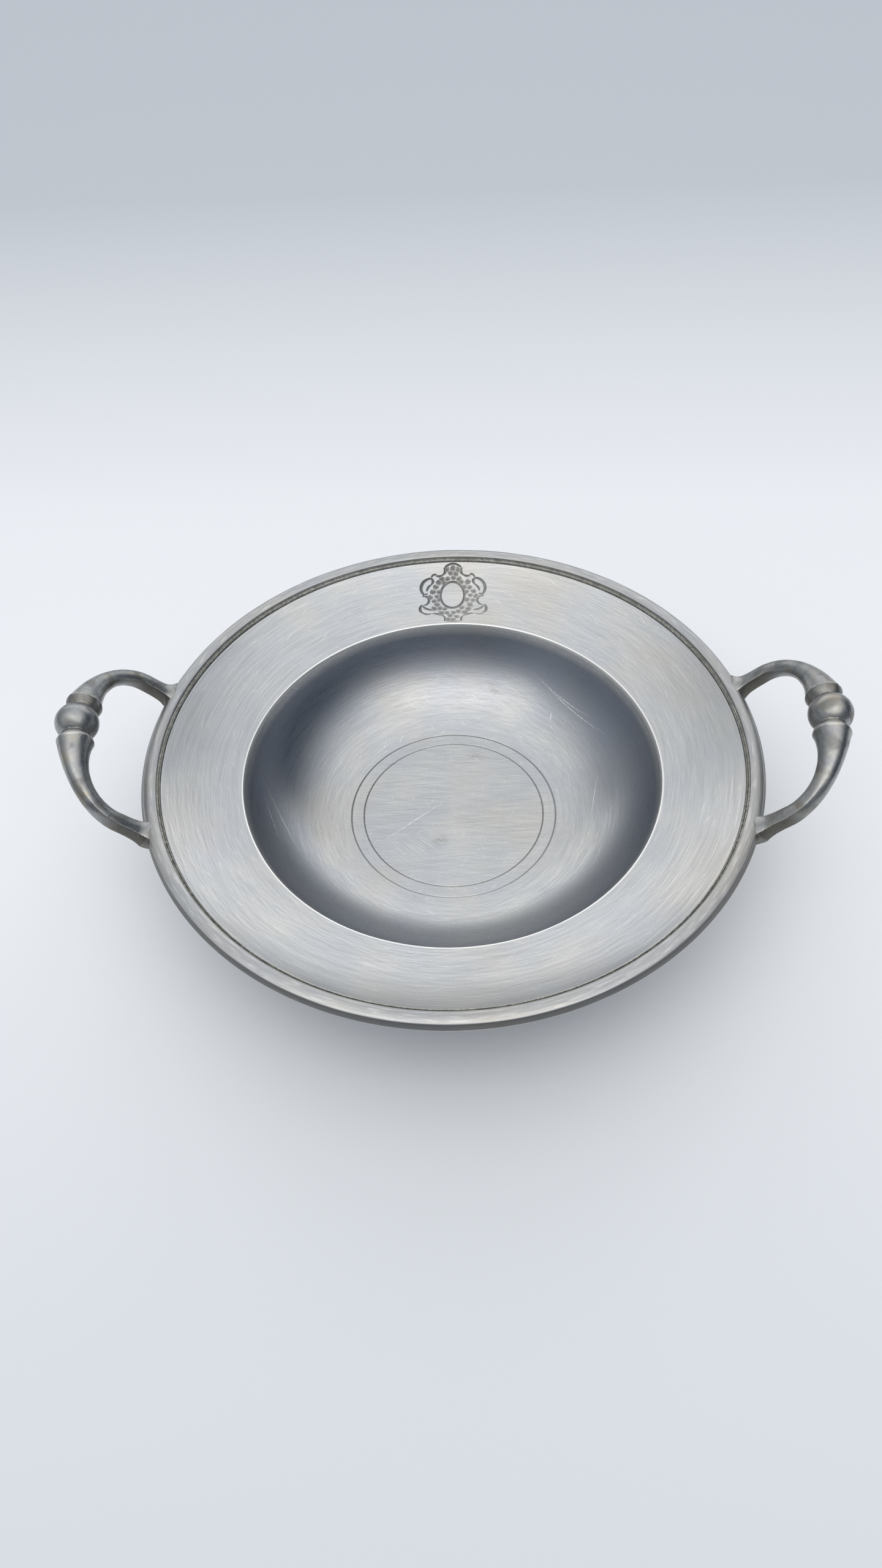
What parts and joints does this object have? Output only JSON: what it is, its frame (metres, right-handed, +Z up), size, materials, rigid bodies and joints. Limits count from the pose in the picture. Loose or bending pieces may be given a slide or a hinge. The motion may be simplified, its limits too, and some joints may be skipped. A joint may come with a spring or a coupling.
{
  "type": "two handled porringer",
  "caption": "Round pewter porringer with a deep well, a broad sloping flange with a sunk cartouche, a beaded rim and a raised loop handle with a ball grip on each side.",
  "frame": {"origin": "middle of the foot, on the plane that the foot stands on", "axes": "+Z up along the bowl's axis, +Y to the cartouche at the back, +X to the right handle"},
  "size_m": [0.2796, 0.23, 0.0753],
  "materials": {
    "pewter": "satin, turned, with fine scratches",
    "cast_pewter": "satin cast metal, darker in the hollows",
    "solder": "dull, grainy"
  },
  "bodies": {
    "root": {"bowl": "pewter", "rim_bead": "pewter", "left_handle": "cast_pewter", "right_handle": "cast_pewter", "rim_solder": "solder", "left_front_solder": "solder", "left_back_solder": "solder", "right_front_solder": "solder", "right_back_solder": "solder"}
  },
  "joints": []
}
